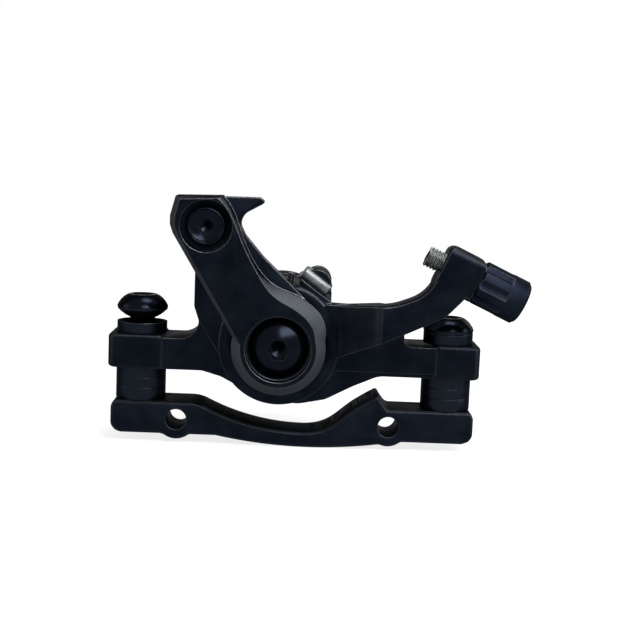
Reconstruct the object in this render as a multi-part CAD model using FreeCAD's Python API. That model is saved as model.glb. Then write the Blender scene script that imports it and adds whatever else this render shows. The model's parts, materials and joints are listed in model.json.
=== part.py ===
import FreeCAD, Part
import math
import os

# Cable-pulled disc brake caliper for an electric scooter, in millimetres.
# Origin: middle of the line between the two frame bolt holes, in the plane of the caliper bolts.
# +X runs along the bracket towards the cable stop, +Z points up and away from the wheel's axle,
# +Y points from the lever side towards the brake disc.

# Mounting pattern
post_spacing = 74.2
post_mid_x = 2.4
frame_hole_spacing = 51.0
frame_hole_r = 2.5
disc_offset = 15.5

# Adapter bracket
bracket_depth = 12.0
bracket_top = 4.2
bracket_bottom = -3.6
bracket_belly = 2.1
bracket_end = 6.5
bracket_boss_r = 4.8
bracket_sag = 6.3
hook_height = 3.1
hook_from_hole = 3.0
bracket_corner = 1.6
bracket_edge = 0.5

# Bolts and washers of the two posts
bolt_r = 3.0
bolt_fit = 0.05
bolt_head_r = 6.1
bolt_head_height = 3.1
bolt_head_top_r = 3.4
bolt_head_rim = 0.3
crown_bands = 5
bolt_socket = 5.0
bolt_socket_depth = 2.4
bolt_raised = 2.8
washer_r = 6.0
washer_hole_r = 3.3
spacer_height = 3.1
ball_band = 2.3
upper_ball_band = 0.4
cup_height = 2.7
seat_sphere_r = 8.0
seat_gap = 0.1
seat_bands = 3

# Ears of the caliper body
ear_thickness = 8.0
ear_depth = 15.0
ear_end = 7.35
ear_corner = 2.6
ear_inner_corner = 1.2
ear_edge = 0.8
left_ear_inner = 5.9
right_ear_inner = 3.7
neck_depth = 12.0
slot_r = 3.3
slot_length = 10.4

# Pivot of the lever, and the housing round it
pivot_x = -1.4
pivot_above_ear = 3.5
housing_r = 14.1
front_y = -11.6
chamber_y = -5.0
spring_pocket_outer = 11.4
spring_pocket_inner = 7.9
spring_pocket_depth = 5.0
bush_wall = 1.0
shaft_r = 5.0
shaft_fit = 0.04
seal_depth = 1.6
seal_gap = 0.1
bridge_left = 20.3
bridge_right = 12.0
bridge_top = 14.5
bridge_dip = 12.3
tower_top = 17.5
tower_inner = -9.6
tower_foot_left = -13.0
tower_foot_low = -5.0
neck_step = 1.1
neck_drop = 0.5
web_step = 1.2
tower_step = 3.6

# Ball ramp stack, from the lever towards the disc
thrust_washer_thick = 1.0
cam_r = 10.0
cam_thick = 3.8
ball_r = 2.5
ball_count = 3
ball_circle_r = 6.8
first_ball_angle = 150.0
ball_pocket = 1.5
ball_fit = 0.12
cam_gap = 1.4
ramp_lead = 10.8
lever_swing = 35.0
piston_r = 10.4
piston_fit = 0.05
key_width = 3.0
key_height = 1.2
key_fit = 0.08
joint_overlap = 0.5

# Pads and disc slot
disc_thick = 2.0
pad_gap = 0.3
lining_thick = 3.0
lining_r = 9.2
lining_groove = 1.2
plate_thick = 2.0
plate_r = 10.4
plate_tab_width = 7.0
plate_tab_rise = 0.9
tab_gap = 0.3
pad_pocket_gap = 0.5
slot_width = 6.0
disc_r = 70.0
disc_overlap = 9.0
disc_clearance = 1.2
pad_spring_thick = 0.4
pad_spring_width = 4.0

# Inboard half and pad adjuster
inboard_back = 27.5
inboard_edge = 1.2
half_split_y = 15.5
body_bolt_r = 2.0
body_bolt_head_r = 3.5
body_bolt_head = 4.0
body_bolt_socket = 3.0
body_bolt_socket_depth = 2.0
body_bolt_edge = 0.4
body_bolt_gap = 0.15
body_bolt_grip = 5.5
body_bolt_left = 14.9
body_bolt_right = 9.2
body_bolt_z = 12.1
tower_back = 24.5
foot_r = 6.9
foot_thick = 2.4
foot_key_height = 1.0
foot_key_width = 2.4
foot_travel = 1.0
adjuster_shaft_r = 3.0
adjuster_knob_r = 8.6
adjuster_knob_thick = 4.6
adjuster_gap = 0.3
adjuster_scallops = 10
adjuster_scallop_r = 1.4
adjuster_socket = 5.0
adjuster_socket_depth = 3.0
adjuster_edge = 0.8
clip_r = 4.3
clip_thick = 0.6
clip_mouth = 2.8

# Lever arm
arm_front_y = -19.0
arm_rear_y = -12.2
arm_layer_y = -15.4
hub_r = 10.9
hub_chamfer = 2.2
flank_r = 12.8
lever_gap = 0.8
hub_recess_r = 7.6
hub_recess = 3.0
arm_length = 32.5
arm_angle = 32.0
pinch_recess_r = 5.9
pinch_recess = 3.2
pinch_head_r = 4.3
pinch_head = 3.4
pinch_r = 2.5
pinch_socket = 4.0
pinch_socket_depth = 2.2
pinch_tip = 1.0
clamp_plate_thick = 2.2
clamp_plate_size = 10.0
clamp_plate_corner = 1.5
clamp_plate_angle = 16.0
cable_r = 0.8
pivot_head_r = 6.2
pivot_head = 3.2
pivot_bolt_r = 3.0
pivot_socket = 5.0
pivot_socket_depth = 2.6
pivot_bolt_length = 9.0
drive_flat = 4.0
drive_fit = 0.03
drive_shoulder = 0.3

# Return spring
wire_r = 0.7
spring_mean_r = 9.5
spring_pitch = 1.85
spring_turns = 2
spring_leg_height = 16.9
spring_leg_angle = 8.0
spring_lead_angle = 22.0
spring_floor_gap = 0.25
leg_gap = 0.35
leg_bend = 2.6
hook_bend = 1.6
hook_reach = 2.3
hook_gap = 0.3
hook_fit = 0.05

# Cable stop arm, barrel adjuster
stop_front_y = -16.8
stop_rear_y = -8.4
stop_slope_start = 14.0
stop_slope_end = 25.0
boss_rear_y = -7.4
barrel_angle = 24.6
barrel_x = 33.6
barrel_z = 22.4
stub_out = 3.9
boss_length = 9.0
boss_height = 10.2
boss_corner = 2.2
screw_r = 2.5
screw_bore_r = 1.2
screw_fit = 0.05
screw_end_gap = 0.4
knob_start_gap = 0.1
knob_r = 5.3
knob_length = 11.8
knob_ribs = 8
knob_flute_r = 1.5
knob_flute_sink = 0.6
knob_collar = 4.6
knob_edge = 0.7
housing_socket_r = 2.8
housing_socket_depth = 7.0

# Spring tension screw and its post
post_x = 8.1
post_r = 3.8
post_top = 17.9
post_front_y = -9.6
post_rear_y = -1.5
tension_r = 1.9
tension_length = 7.6
tension_angle = 36.0
tension_depth = 1.2
tension_z = 15.0
tension_edge = 0.35
tension_socket_depth = 1.6
tension_socket = 2.0

# Levels and places worked out from the sizes above
left_x = post_mid_x - post_spacing / 2
right_x = post_mid_x + post_spacing / 2
hole_x = frame_hole_spacing / 2
ball_washer_z = bracket_top + spacer_height
cup_z = ball_washer_z + ball_band
ear_bottom = cup_z + cup_height
ear_top = ear_bottom + ear_thickness
upper_cup_top = ear_top + cup_height
pivot_z = ear_bottom + ear_thickness / 2 + pivot_above_ear
rim_drop = seat_sphere_r - math.sqrt(seat_sphere_r ** 2 - washer_r ** 2)
plane_y = disc_offset
slot_front = plane_y - slot_width / 2
slot_back = plane_y + slot_width / 2
bush_r = shaft_r + bush_wall
cam_front = chamber_y + thrust_washer_thick
cam_back = cam_front + cam_thick
ball_y = cam_back - ball_pocket + ball_r
piston_front = cam_back + cam_gap
outer_plate_y = plane_y - disc_thick / 2 - pad_gap - lining_thick - plate_thick
inner_lining_y = plane_y + disc_thick / 2 + pad_gap
inner_plate_y = inner_lining_y + lining_thick
foot_y = inner_plate_y + plate_thick
foot_pocket_back = foot_y + foot_thick + foot_travel
pad_pocket_r = plate_r + pad_pocket_gap
arm_seat_y = arm_front_y + hub_recess
cable_y = arm_rear_y
pocket_floor = front_y + spring_pocket_depth
spring_start_y = pocket_floor - wire_r - spring_floor_gap
disc_centre_z = pivot_z + disc_overlap - disc_r
across = FreeCAD.Vector(1, 0, 0)
depth = FreeCAD.Vector(0, 1, 0)
up = FreeCAD.Vector(0, 0, 1)


def vec(x, y, z):
    return FreeCAD.Vector(x, y, z)


def hub(x, y, z):
    """A point given from the lever's pivot axis."""
    return vec(pivot_x + x, y, pivot_z + z)


def rounded_wire(points, origin, right, top):
    """Closed outline with rounded corners. Each point is (right, top, corner radius)."""
    places = [origin + right * p[0] + top * p[1] for p in points]
    count = len(points)
    corners = []
    for i in range(count):
        here = places[i]
        back = places[i - 1] - here
        ahead = places[(i + 1) % count] - here
        radius = points[i][2]
        half = back.getAngle(ahead) / 2
        if radius <= 0 or half > math.radians(89.5):
            corners.append((here, here, here))
            continue
        run = min(radius / math.tan(half), back.Length / 2, ahead.Length / 2)
        reach = run * math.tan(half)
        back.normalize()
        ahead.normalize()
        middle = back + ahead
        middle.normalize()
        bend = here + middle * (reach / math.sin(half) - reach)
        corners.append((here + back * run, bend, here + ahead * run))
    edges = []
    for i in range(count):
        start, bend, end = corners[i]
        if (end - start).Length > 1e-6:
            edges.append(Part.Arc(start, bend, end).toShape())
        following = corners[(i + 1) % count][0]
        if (following - end).Length > 1e-6:
            edges.append(Part.LineSegment(end, following).toShape())
    return Part.Wire(edges)


def extrude(points, origin, right, top, push):
    return Part.Face(rounded_wire(points, origin, right, top)).extrude(push)


def plate_xz(points, y_low, y_high):
    """Solid between two depths with an outline in the XZ plane of the row."""
    return extrude(points, vec(0, y_low, 0), across, up, depth * (y_high - y_low))


def hub_plate(points, y_low, y_high):
    """The same, with the outline given from the pivot axis."""
    return extrude(points, hub(0, y_low, 0), across, up, depth * (y_high - y_low))


def rod_y(radius, y_low, y_high, centre_x, centre_z):
    return Part.makeCylinder(radius, y_high - y_low, vec(centre_x, y_low, centre_z), depth)


def hub_rod(radius, y_low, y_high):
    return rod_y(radius, y_low, y_high, pivot_x, pivot_z)


def rod_z(radius, z_low, z_high, x):
    return Part.makeCylinder(radius, z_high - z_low, vec(x, 0, z_low), up)


def hexagon(width, origin, right, top, push):
    """Hexagonal prism, width measured across its flats."""
    radius = width / math.sqrt(3)
    points = []
    for i in range(6):
        angle = math.radians(60 * i)
        points.append((radius * math.cos(angle), radius * math.sin(angle), 0))
    return extrude(points, origin, right, top, push)


def revolve_z(profile, x):
    """Turned part on an upright axis. Each profile point is (radius, z)."""
    points = [vec(x + p[0], 0, p[1]) for p in profile]
    face = Part.Face(Part.makePolygon(points + points[:1]))
    return face.revolve(vec(x, 0, 0), up, 360)


def revolve_y(profile, x, z):
    """Turned part on an axis along Y. Each profile point is (radius, y)."""
    points = [vec(x + p[0], p[1], z) for p in profile]
    face = Part.Face(Part.makePolygon(points + points[:1]))
    return face.revolve(vec(x, 0, z), depth, 360)


def edges_at_depth(shape, y):
    """Edges that lie in the plane at one depth."""
    return [e for e in shape.Edges if abs(e.BoundBox.YMin - y) < 1e-4 and abs(e.BoundBox.YMax - y) < 1e-4]


def save(name, shape):
    if not shape.isValid():
        print("not valid:", name)
    if len(shape.Solids) == 1:
        shape = shape.Solids[0]
    shape.exportStep("parts/" + name + ".step")
    print(name, len(shape.Solids), "solids", round(shape.Volume, 1), "mm3")


# Adapter bracket

def adapter_bracket():
    y_low = -bracket_depth / 2
    left_end = left_x - bracket_end
    right_end = right_x + bracket_end
    low_x = pivot_x + bracket_sag
    low_z = bracket_bottom + 1.5
    left_span = low_x + 20.3
    left_rise = bracket_top - low_z
    left_arc_r = (left_span ** 2 + left_rise ** 2) / (2 * left_rise)

    def arc_point(radius, x):
        return vec(x, y_low, low_z + radius - math.sqrt(radius ** 2 - (x - low_x) ** 2))

    left_start = arc_point(left_arc_r, low_x - left_span)
    lowest = vec(low_x, y_low, low_z)
    hook_x = hole_x - hook_from_hole
    hook_z = bracket_top + hook_height
    hook_in = vec(hook_x - 0.5, y_low, hook_z - 0.2)
    hook_out = vec(hook_x + 0.9, y_low, hook_z - 0.7)
    hook_foot = vec(hook_x + 2.8, y_low, bracket_top)
    climb = Part.BSplineCurve()
    climb.interpolate([lowest,
                       vec(hook_x - 11.5, y_low, low_z + 1.4),
                       vec(hook_x - 5.6, y_low, bracket_top - 0.3),
                       vec(hook_x - 2.8, y_low, bracket_top + hook_height / 2), hook_in],
                      InitialTangent=across, FinalTangent=vec(1, 0, 0.5))
    belly_left = vec(-16.0, y_low, bracket_bottom)
    belly_right = vec(hole_x + 2.5, y_low, bracket_bottom)
    belly_low = vec((belly_left.x + belly_right.x) / 2, y_low, bracket_bottom - bracket_belly)
    corner = bracket_corner
    line = Part.LineSegment
    edges = [
        line(vec(left_end + corner / 3, y_low, bracket_top), left_start).toShape(),
        Part.Arc(left_start, arc_point(left_arc_r, low_x - left_span / 2), lowest).toShape(),
        climb.toShape(),
        Part.Arc(hook_in, vec(hook_x + 0.4, y_low, hook_z), hook_out).toShape(),
        line(hook_out, hook_foot).toShape(),
        line(hook_foot, vec(right_end - corner / 3, y_low, bracket_top)).toShape(),
        line(vec(right_end - corner / 3, y_low, bracket_top),
             vec(right_end, y_low, bracket_top - corner)).toShape(),
        line(vec(right_end, y_low, bracket_top - corner),
             vec(right_end, y_low, bracket_bottom + corner)).toShape(),
        line(vec(right_end, y_low, bracket_bottom + corner),
             vec(right_end - corner, y_low, bracket_bottom)).toShape(),
        line(vec(right_end - corner, y_low, bracket_bottom), belly_right).toShape(),
        Part.Arc(belly_right, belly_low, belly_left).toShape(),
        line(belly_left, vec(left_end + corner, y_low, bracket_bottom)).toShape(),
        line(vec(left_end + corner, y_low, bracket_bottom),
             vec(left_end, y_low, bracket_bottom + corner)).toShape(),
        line(vec(left_end, y_low, bracket_bottom + corner),
             vec(left_end, y_low, bracket_top - corner)).toShape(),
        line(vec(left_end, y_low, bracket_top - corner),
             vec(left_end + corner / 3, y_low, bracket_top)).toShape(),
    ]
    body = Part.Face(Part.Wire(edges)).extrude(depth * bracket_depth)
    under = plate_xz([(left_x, bracket_bottom - 9, 0), (right_x, bracket_bottom - 9, 0),
                      (right_x, bracket_top, 0), (left_x, bracket_top, 0)], y_low, -y_low)
    bosses = [rod_y(bracket_boss_r, y_low, -y_low, x, 0).common(under) for x in (-hole_x, hole_x)]
    body = body.fuse(bosses).removeSplitter()
    body = body.makeChamfer(bracket_edge, edges_at_depth(body, y_low) + edges_at_depth(body, -y_low))
    holes = [rod_y(frame_hole_r, y_low - 1, 1 - y_low, x, 0) for x in (-hole_x, hole_x)]
    holes += [rod_z(bolt_r + bolt_fit, bracket_bottom - 5, bracket_top + 5, x) for x in (left_x, right_x)]
    return body.cut(holes)


# Bolts, washers and spacers of one post

def spacer(x):
    ring = rod_z(washer_r, bracket_top, ball_washer_z, x)
    return ring.cut(rod_z(washer_hole_r, bracket_top - 1, ball_washer_z + 1, x))


def seat_curve(inner, radius, rim_z, way):
    """Points (radius, z) of a domed seat from its rim in to a hole.

    way is 1 where the dome's top points up.
    """
    rim = math.asin(washer_r / radius)
    hole = math.asin(inner / radius)
    points = []
    for i in range(seat_bands + 1):
        angle = rim + (hole - rim) * i / seat_bands
        rise = radius * math.cos(angle) - seat_sphere_r + rim_drop
        points.append((radius * math.sin(angle), rim_z + way * rise))
    return points


def ball_washer(x, inner, flat_z, rim_z, way):
    """Washer with a flat side at one level and a domed side whose rim is at another."""
    profile = [(inner, flat_z), (washer_r, flat_z)] + seat_curve(inner, seat_sphere_r, rim_z, way)
    return revolve_z(profile, x)


def cup_washer(x, flat_z, rim_z, way):
    """Washer with a hollow that takes the dome of its ball washer."""
    seat = seat_curve(washer_hole_r, seat_sphere_r + seat_gap, rim_z, way)
    return revolve_z([(washer_hole_r, flat_z), (washer_r, flat_z)] + seat, x)


def lower_ball_washer(x):
    return ball_washer(x, washer_hole_r, ball_washer_z, cup_z, 1)


def lower_cup_washer(x):
    return cup_washer(x, ear_bottom, cup_z, 1)


def upper_cup_washer(x):
    return cup_washer(x, ear_top, upper_cup_top, -1)


def upper_ball_washer(x, lift):
    base = upper_cup_top + seat_gap / 2
    solid = ball_washer(x, bolt_r + bolt_fit, base + upper_ball_band, base, -1)
    solid.translate(up * lift)
    return solid


def mounting_bolt(x, lift):
    seat = upper_cup_top + seat_gap / 2 + upper_ball_band
    top = seat + bolt_head_height
    tip = bracket_bottom + 0.3
    rim = seat + bolt_head_rim
    crown = bolt_head_r - bolt_head_top_r
    drop = top - rim
    profile = [(0, top)]
    for i in range(crown_bands + 1):
        share = i / crown_bands
        angle = math.pi / 2 * share
        profile.append((bolt_head_top_r + crown * (share + math.sin(angle)) / 2,
                        rim + drop * (1 - share + math.cos(angle)) / 2))
    profile += [(bolt_head_r, seat), (bolt_r, seat), (bolt_r, tip + 0.6), (bolt_r - 0.6, tip), (0, tip)]
    solid = revolve_z(profile, x)
    socket = hexagon(bolt_socket, vec(x, 0, top - bolt_socket_depth), across, depth,
                     up * (bolt_socket_depth + 1))
    solid = solid.cut(socket)
    solid.translate(up * lift)
    return solid


# Caliper body, lever side

def ear(x, end_side, inner):
    """Rounded block round one bolt, end_side is -1 on the left and 1 on the right."""
    outer = x + end_side * ear_end
    half = ear_depth / 2
    points = [(outer, -half, ear_corner), (inner, -half, ear_inner_corner), (inner, half, ear_inner_corner),
              (outer, half, ear_corner)]
    block = extrude(points, vec(0, 0, ear_bottom), across, depth, up * ear_thickness)
    return block.makeFillet(ear_edge, [e for e in block.Edges if e.BoundBox.ZLength < 0.001])


def bolt_slot(x):
    run = (slot_length - 2 * slot_r) / 2
    points = [(x - slot_r, -run - slot_r, slot_r - 0.01), (x + slot_r, -run - slot_r, slot_r - 0.01),
              (x + slot_r, run + slot_r, slot_r - 0.01), (x - slot_r, run + slot_r, slot_r - 0.01)]
    return extrude(points, vec(0, 0, ear_bottom - 5), across, depth, up * (ear_thickness + 10))


def body_web():
    """The web that joins both ears to the housing. Its waved lower part stands behind the front layer."""
    low = ear_bottom - pivot_z
    high = ear_top - pivot_z - neck_drop
    left = left_x + left_ear_inner - pivot_x - 3
    right = right_x - right_ear_inner - pivot_x + 3
    side = neck_step - bridge_left
    front = -neck_depth / 2 - 1
    layer = [
        (left, low, 0), (-18.0, low, 4), (-10.0, -9.6, 0), (10.0, -9.4, 0), (14.0, low + 1.1, 3),
        (right, low + 1.1, 0), (right, high, 0), (29.7, high, 1.9), (29.7, 4.2, 0.6), (20, 7.5, 3), (5, 9, 3),
        (side, 9, 0.5), (side, high, 4.6), (left, high, 0)]
    wave = [
        (left, low, 0), (-19.0, low, 6), (-13.6, -9.0, 6), (-6.0, -12.9, 4), (4.6, -15.0, 8),
        (11.5, -13.6, 5), (17.9, -10.2, 8), (24.0, low, 6), (right, low, 0), (right, low + 4, 0),
        (left, low + 4, 0)]
    return hub_plate(layer, front, -front).fuse(hub_plate(wave, front + web_step, -front))


def bridge_outline(left, bottom):
    """Outline of the bridge over the disc's edge, from the pivot axis. It dips between tower and post."""
    return [(left, bottom, 0), (bridge_right, bottom, 0), (bridge_right, bridge_top - 2, 0.8),
            (bridge_right - 2, bridge_top, 1.5),
            (bridge_right - 7, bridge_top, 2),
            (bridge_right - 9, bridge_dip, 2),
            (tower_inner, bridge_dip, 2), (tower_inner - 2, tower_top, 1.5), (-bridge_left, tower_top, 1.5),
            (-bridge_left, 8.0, 3), (neck_step - bridge_left, 4.8, 2)]


def stop_arm():
    """The curved arm that carries the cable stop, from the housing up to the boss."""
    points = [
        (10.6, 10.0, 0), (16.0, 9.8, 30), (26.6, 10.6, 14), (33.2, 13.2, 9), (36.8, 18.6, 4),
        (38.6, 23.0, 1), (43.4, 20.6, 1), (43.4, 14.3, 7), (38.0, 8.6, 9), (32.7, 6.1, 12),
        (28.4, 4.1, 8), (12.7, -3.0, 1.0), (11.6, 0, 0)]
    front = hub_plate(points, stop_front_y, stop_rear_y)
    root = hub_plate([(10.6, 9.9, 0), (16.0, 9.7, 8), (26.6, 10.4, 6), (28.4, 4.1, 2), (12.7, -3.0, 1),
                      (8.0, -3.0, 0), (8.0, 8.0, 0)], front_y, -5.0)
    return front.cut(stop_slope()).fuse(root)


def stop_slope():
    """The stop arm leans out from the housing's face to the plane of the cable."""
    far = 4 * stop_front_y
    points = [(0, far, 0), (stop_slope_end, far, 0), (stop_slope_end, stop_front_y, 6),
              (stop_slope_start, front_y, 6), (0, front_y, 0)]
    return extrude(points, hub(0, 0, -20), across, depth, up * 60)


def barrel_place(shape):
    """Turns a part built along X onto the slanted axis of the barrel adjuster."""
    shape.rotate(vec(0, 0, 0), depth, barrel_angle)
    shape.translate(hub(barrel_x, cable_y, barrel_z))
    return shape


def stop_boss():
    half = (boss_rear_y - stop_front_y) / 2
    middle = (boss_rear_y + stop_front_y) / 2 - cable_y
    tall = boss_height / 2
    points = [(middle - half, -tall, 1.5), (middle + half, -tall, 1.5),
              (middle + half, tall, boss_corner), (middle - half, tall, boss_corner)]
    return barrel_place(extrude(points, vec(stub_out, 0, 0), depth, up, across * boss_length))


def tension_place(shape):
    """Turns a part built along X onto the axis of the spring tension screw."""
    shape.rotate(vec(0, 0, 0), depth, tension_angle)
    shape.translate(hub(post_x, post_front_y + tension_depth, tension_z))
    return shape


def tension_post():
    points = [(post_x - post_r, 9, 0), (post_x + post_r, 9, 0), (post_x + post_r, post_top, post_r - 0.05),
              (post_x - post_r, post_top, post_r - 0.05)]
    return hub_plate(points, post_front_y, post_rear_y)


def disc_path(clearance, y_low, y_high):
    return rod_y(disc_r + clearance, y_low, y_high, pivot_x, disc_centre_z)


def outer_half():
    housing = hub_rod(housing_r, front_y, slot_front)
    tower = hub_plate(bridge_outline(tower_foot_left, tower_foot_low), front_y + tower_step, slot_front)
    bridge = hub_plate(bridge_outline(neck_step - bridge_left, 2), slot_front - joint_overlap, half_split_y)
    bridge = bridge.cut(disc_path(disc_clearance, slot_front, half_split_y + 1))
    ears = [ear(left_x, -1, left_x + left_ear_inner), ear(right_x, 1, right_x - right_ear_inner)]
    body = housing.fuse([tower, bridge, body_web(), stop_arm(), stop_boss(), tension_post()] + ears)
    return body.removeSplitter()


def spring_leg_groove():
    """Groove that lets the fixed leg of the return spring out of its pocket, upwards."""
    half = wire_r + leg_gap
    low = spring_mean_r
    top = spring_leg_height + housing_r / 2
    groove = extrude([(-half, low, 0), (half, low, 0), (half, top, 0), (-half, top, 0)],
                     vec(0, front_y - 1, 0), across, up, depth * (spring_pocket_depth + 1))
    groove.rotate(vec(0, 0, 0), depth, spring_leg_angle)
    groove.translate(hub(0, 0, 0))
    return groove


def key_bar(radius, height, width, y_low, y_high):
    """A bar on top of a round part that stops it from turning."""
    return hub_plate([(-width / 2, 0, 0), (width / 2, 0, 0), (width / 2, radius + height, 0),
                      (-width / 2, radius + height, 0)], y_low, y_high)


def caliper_body():
    body = outer_half()
    lever_room = hub_rod(flank_r + lever_gap, arm_front_y - 2, front_y)
    sweep = hub_rod(spring_pocket_outer, front_y - 1, pocket_floor).cut(
        hub_rod(spring_pocket_inner, front_y - 2, pocket_floor + 1))
    bore = hub_rod(bush_r, front_y - 2, chamber_y + 1)
    chamber = hub_rod(piston_r + piston_fit, chamber_y, slot_front + 1)
    pad_pocket = hub_rod(pad_pocket_r, outer_plate_y - tab_gap, slot_front + 1)
    keyway = key_bar(piston_r, key_height + key_fit, key_width + 2 * key_fit, chamber_y, slot_front + 1)
    tab = key_bar(plate_r, plate_tab_rise + tab_gap, plate_tab_width + 2 * tab_gap, outer_plate_y - tab_gap,
                  slot_front + 1)
    screw_hole = barrel_place(Part.makeCylinder(screw_r + screw_fit, boss_length + 20, vec(-6, 0, 0), across))
    tension_hole = tension_place(Part.makeCylinder(tension_r, tension_length + 12, vec(-6, 0, 0), across))
    bolts = [rod_y(body_bolt_r, slot_front - body_bolt_grip - joint_overlap, half_split_y + 1, pivot_x + x,
                   pivot_z + body_bolt_z) for x in (-body_bolt_left, body_bolt_right)]
    slots = [bolt_slot(left_x), bolt_slot(right_x)]
    return body.cut([lever_room, sweep, bore, chamber, pad_pocket, keyway, tab, screw_hole, tension_hole,
                     spring_leg_groove()] + bolts + slots)


def inboard_half():
    housing = hub_rod(housing_r, slot_back, inboard_back)
    tower = hub_plate(bridge_outline(tower_foot_left, tower_foot_low), slot_back, tower_back)
    bridge = hub_plate(bridge_outline(neck_step - bridge_left, 2), half_split_y, slot_back + joint_overlap)
    bridge = bridge.cut(disc_path(disc_clearance, half_split_y - 1, slot_back))
    body = housing.fuse([tower, bridge]).removeSplitter()
    body = body.makeChamfer(inboard_edge, edges_at_depth(body, inboard_back))
    pad_pocket = hub_rod(pad_pocket_r, slot_back - 1, foot_y + tab_gap)
    tab = key_bar(plate_r, plate_tab_rise + tab_gap, plate_tab_width + 2 * tab_gap,
                  slot_back - 1, foot_y + tab_gap)
    foot_pocket = hub_rod(foot_r + piston_fit, slot_back - 1, foot_pocket_back)
    foot_key = key_bar(foot_r, foot_key_height + key_fit, foot_key_width + 2 * key_fit, slot_back - 1,
                       foot_pocket_back)
    shaft = hub_rod(adjuster_shaft_r + shaft_fit, slot_back, inboard_back + 1)
    bolts = []
    for x in (-body_bolt_left, body_bolt_right):
        place_x = pivot_x + x
        place_z = pivot_z + body_bolt_z
        bolts.append(rod_y(body_bolt_r + body_bolt_gap, half_split_y - 1, inboard_back + 1, place_x, place_z))
        bolts.append(rod_y(body_bolt_head_r + tab_gap, tower_back, inboard_back + 5, place_x, place_z))
    return body.cut([pad_pocket, tab, foot_pocket, foot_key, shaft] + bolts)


def body_bolt(x):
    seat = tower_back
    top = seat + body_bolt_head
    tip = slot_front - body_bolt_grip
    profile = [(0, top), (body_bolt_head_r - body_bolt_edge, top), (body_bolt_head_r, top - body_bolt_edge),
               (body_bolt_head_r, seat), (body_bolt_r, seat), (body_bolt_r, tip), (0, tip)]
    solid = revolve_y(profile, pivot_x + x, pivot_z + body_bolt_z)
    socket = hexagon(body_bolt_socket, hub(x, top - body_bolt_socket_depth, body_bolt_z),
                     across, up, depth * 3)
    return solid.cut(socket)


# Ball ramp, thrust parts and pads

def shaft_bush():
    return hub_rod(bush_r, front_y + seal_depth, chamber_y).cut(
        hub_rod(shaft_r + shaft_fit, front_y, chamber_y + 1))


def shaft_seal():
    inner = shaft_r + seal_gap
    profile = [(inner, front_y + seal_gap), (bush_r, front_y + seal_gap), (bush_r, front_y + seal_depth),
               (inner, front_y + seal_depth)]
    return revolve_y(profile, pivot_x, pivot_z)


def thrust_washer():
    return hub_rod(cam_r, chamber_y, cam_front).cut(hub_rod(shaft_r + 0.2, chamber_y - 1, cam_front + 1))


def drive_section(y_low, y_high, ease):
    """Round shaft with two flats, which turns the cam with the lever."""
    flat = drive_flat + ease
    long = 2 * shaft_r
    box = hub_plate([(-flat, -long, 0), (flat, -long, 0), (flat, long, 0), (-flat, long, 0)], y_low, y_high)
    return hub_rod(shaft_r + ease, y_low, y_high).common(box)


def ball_places():
    places = []
    for i in range(ball_count):
        angle = math.radians(first_ball_angle + 360 / ball_count * i)
        places.append(hub(ball_circle_r * math.cos(angle), ball_y, ball_circle_r * math.sin(angle)))
    return places


def drive_cam():
    flange = hub_rod(cam_r, cam_front, cam_back)
    shoulder = arm_rear_y + drive_shoulder
    shaft = hub_rod(shaft_r, shoulder, cam_front)
    head = drive_section(arm_seat_y + drive_shoulder, shoulder, 0)
    solid = flange.fuse([shaft, head]).removeSplitter()
    pockets = [Part.makeSphere(ball_r + drive_fit, place) for place in ball_places()]
    thread = hub_rod(pivot_bolt_r, arm_seat_y - 1, arm_seat_y + pivot_bolt_length + 0.5)
    return solid.cut(pockets + [thread])


def ramp_balls():
    return Part.makeCompound([Part.makeSphere(ball_r, place) for place in ball_places()])


def ramp_groove(place):
    """Sloping groove in the piston: the ball rolls along it and pushes the piston away."""
    half = lever_swing / 2
    rise = ramp_lead * half / 360
    reach = ball_circle_r * math.sin(math.radians(half))
    slope = math.degrees(math.asin(rise / reach))
    radius = ball_r + ball_fit
    section = Part.Face(Part.Wire(Part.Circle(vec(ball_circle_r, 0, 0), up, radius).toShape()))
    section.rotate(vec(0, 0, 0), depth, -half)
    groove = section.revolve(vec(0, 0, 0), depth, 2 * half)
    ends = []
    for side in (-half, half):
        angle = math.radians(side)
        ends.append(Part.makeSphere(radius, vec(ball_circle_r * math.cos(angle), 0,
                                                -ball_circle_r * math.sin(angle))))
    solid = groove.fuse(ends)
    solid.rotate(vec(0, 0, 0), across, -slope)
    start = math.degrees(math.atan2(place.z - pivot_z, place.x - pivot_x))
    solid.rotate(vec(0, 0, 0), depth, half - start)
    solid.translate(hub(0, place.y - rise, 0))
    return solid


def ramp_piston():
    solid = hub_rod(piston_r, piston_front, outer_plate_y)
    solid = solid.fuse(key_bar(piston_r, key_height, key_width, piston_front, outer_plate_y))
    solid = solid.removeSplitter()
    return solid.cut([ramp_groove(place) for place in ball_places()])


def pad_plate(y_low):
    solid = hub_rod(plate_r, y_low, y_low + plate_thick)
    solid = solid.fuse(key_bar(plate_r, plate_tab_rise, plate_tab_width, y_low, y_low + plate_thick))
    return solid.removeSplitter()


def pad_lining(y_low):
    solid = hub_rod(lining_r, y_low, y_low + lining_thick)
    half = lining_groove / 2
    long = 2 * lining_r
    outline = [(-half, -long, 0), (half, -long, 0), (half, long, 0), (-half, long, 0)]
    if y_low > plane_y:
        return solid.cut(hub_plate(outline, y_low, y_low + lining_groove))
    y_high = y_low + lining_thick
    return solid.cut(hub_plate(outline, y_high - lining_groove, y_high))


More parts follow.
